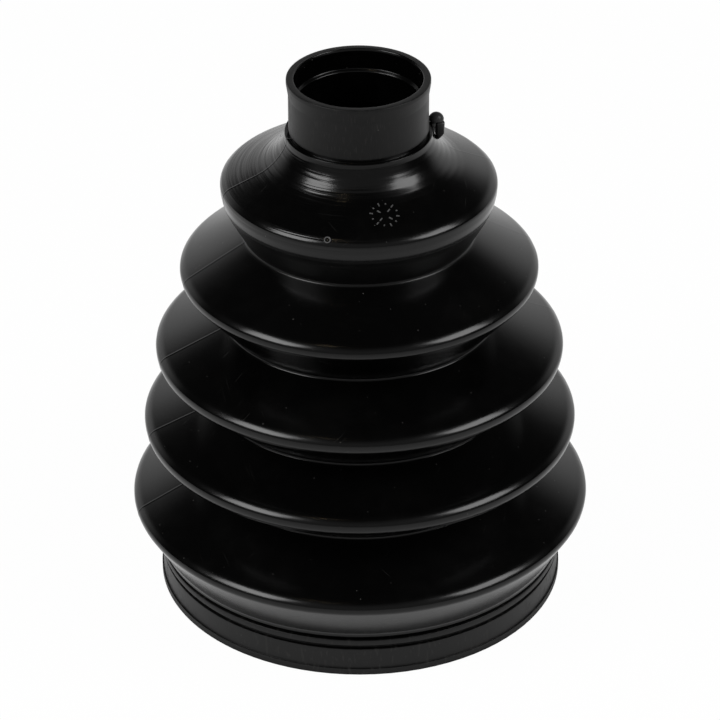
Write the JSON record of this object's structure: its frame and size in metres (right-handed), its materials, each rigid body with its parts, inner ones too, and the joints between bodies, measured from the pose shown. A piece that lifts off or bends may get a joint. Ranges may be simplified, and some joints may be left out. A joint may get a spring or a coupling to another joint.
{
  "type": "bellows boot",
  "caption": "Black moulded rubber bellows boot for a drive shaft joint, with a narrow clamp collar, ribbed cone of deep folds and a wide grooved clamp collar.",
  "frame": {"origin": "centre of the ring the wide collar stands on", "axes": "+Z along the shaft from the wide collar to the narrow one; the parting line lies in the plane through Z turned 13.8 degrees from +X towards +Y, with the moulding nib on its +X side"},
  "size_m": [0.0994, 0.0994, 0.12],
  "materials": {
    "bellows_boot": "smooth glossy black moulded rubber"
  },
  "bodies": {
    "root": {"bellows_boot": "bellows_boot"}
  },
  "joints": []
}
